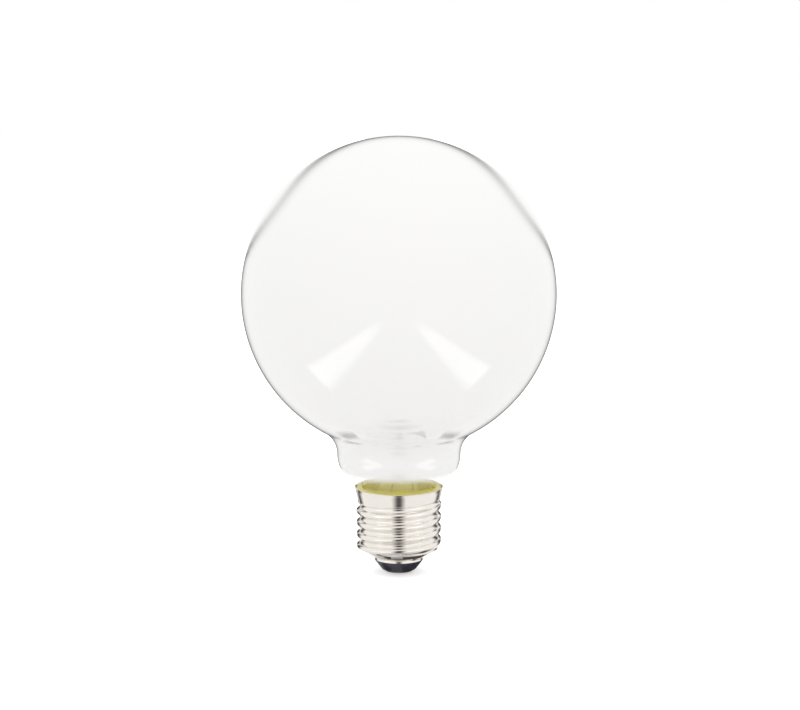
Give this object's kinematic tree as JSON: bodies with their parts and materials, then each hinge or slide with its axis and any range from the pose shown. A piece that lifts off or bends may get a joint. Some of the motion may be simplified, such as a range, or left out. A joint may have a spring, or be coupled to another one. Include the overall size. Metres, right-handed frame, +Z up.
{
  "type": "led light bulb",
  "caption": "Opal globe LED filament light bulb with a bowl-shaped neck, a nickel Edison screw cap, a black cap insulator and a centre contact.",
  "frame": {"origin": "bottom of the centre contact's flat head, on the bulb's axis", "axes": "+Z up the bulb's axis from the cap to the globe; -Y towards the front, the side that the picture shows; +X to the right as seen from the front"},
  "size_m": [0.095, 0.095, 0.1335],
  "materials": {
    "opal_glass": "smooth glass, coated white inside",
    "clear_glass": "clear, fire-polished",
    "lead_wire": "drawn nickel-plated wire",
    "phosphor": "matte yellow silicone with phosphor",
    "nickel_plate": "bright nickel plate",
    "black_insulator": "glossy black moulding",
    "plated_brass": "tinned and slightly dull",
    "cement": "matte pale cement",
    "board_laminate": "satin glass-fibre laminate",
    "chip_moulding": "matte black moulding",
    "capacitor_can": "sleeved can",
    "ferrite": "dark grey ferrite",
    "resistor_coating": "matte blue-grey coating",
    "tinned_wire": "bright tinned wire",
    "solder": "satin solder"
  },
  "bodies": {
    "root": {"glass_globe": "opal_glass", "glass_stem": "clear_glass", "exhaust_tube": "clear_glass", "lead_wire_left": "lead_wire", "lead_wire_right": "lead_wire", "lower_bus_left": "lead_wire", "lower_bus_right": "lead_wire", "upper_link_front": "lead_wire", "upper_link_back": "lead_wire", "led_filament_1": "phosphor", "led_filament_2": "phosphor", "led_filament_3": "phosphor", "led_filament_4": "phosphor", "filament_end_tabs": "lead_wire", "screw_shell": "nickel_plate", "cap_insulator": "black_insulator", "contact_plate": "plated_brass", "contact_pin": "plated_brass", "cap_cement": "cement", "driver_board": "board_laminate", "bridge_rectifier": "chip_moulding", "bulk_capacitor": "capacitor_can", "driver_inductor": "ferrite", "driver_chip": "chip_moulding", "fuse_resistor": "resistor_coating", "sense_resistors": "chip_moulding", "live_wire": "tinned_wire", "neutral_wire": "tinned_wire", "solder_joints": "solder"}
  },
  "joints": []
}
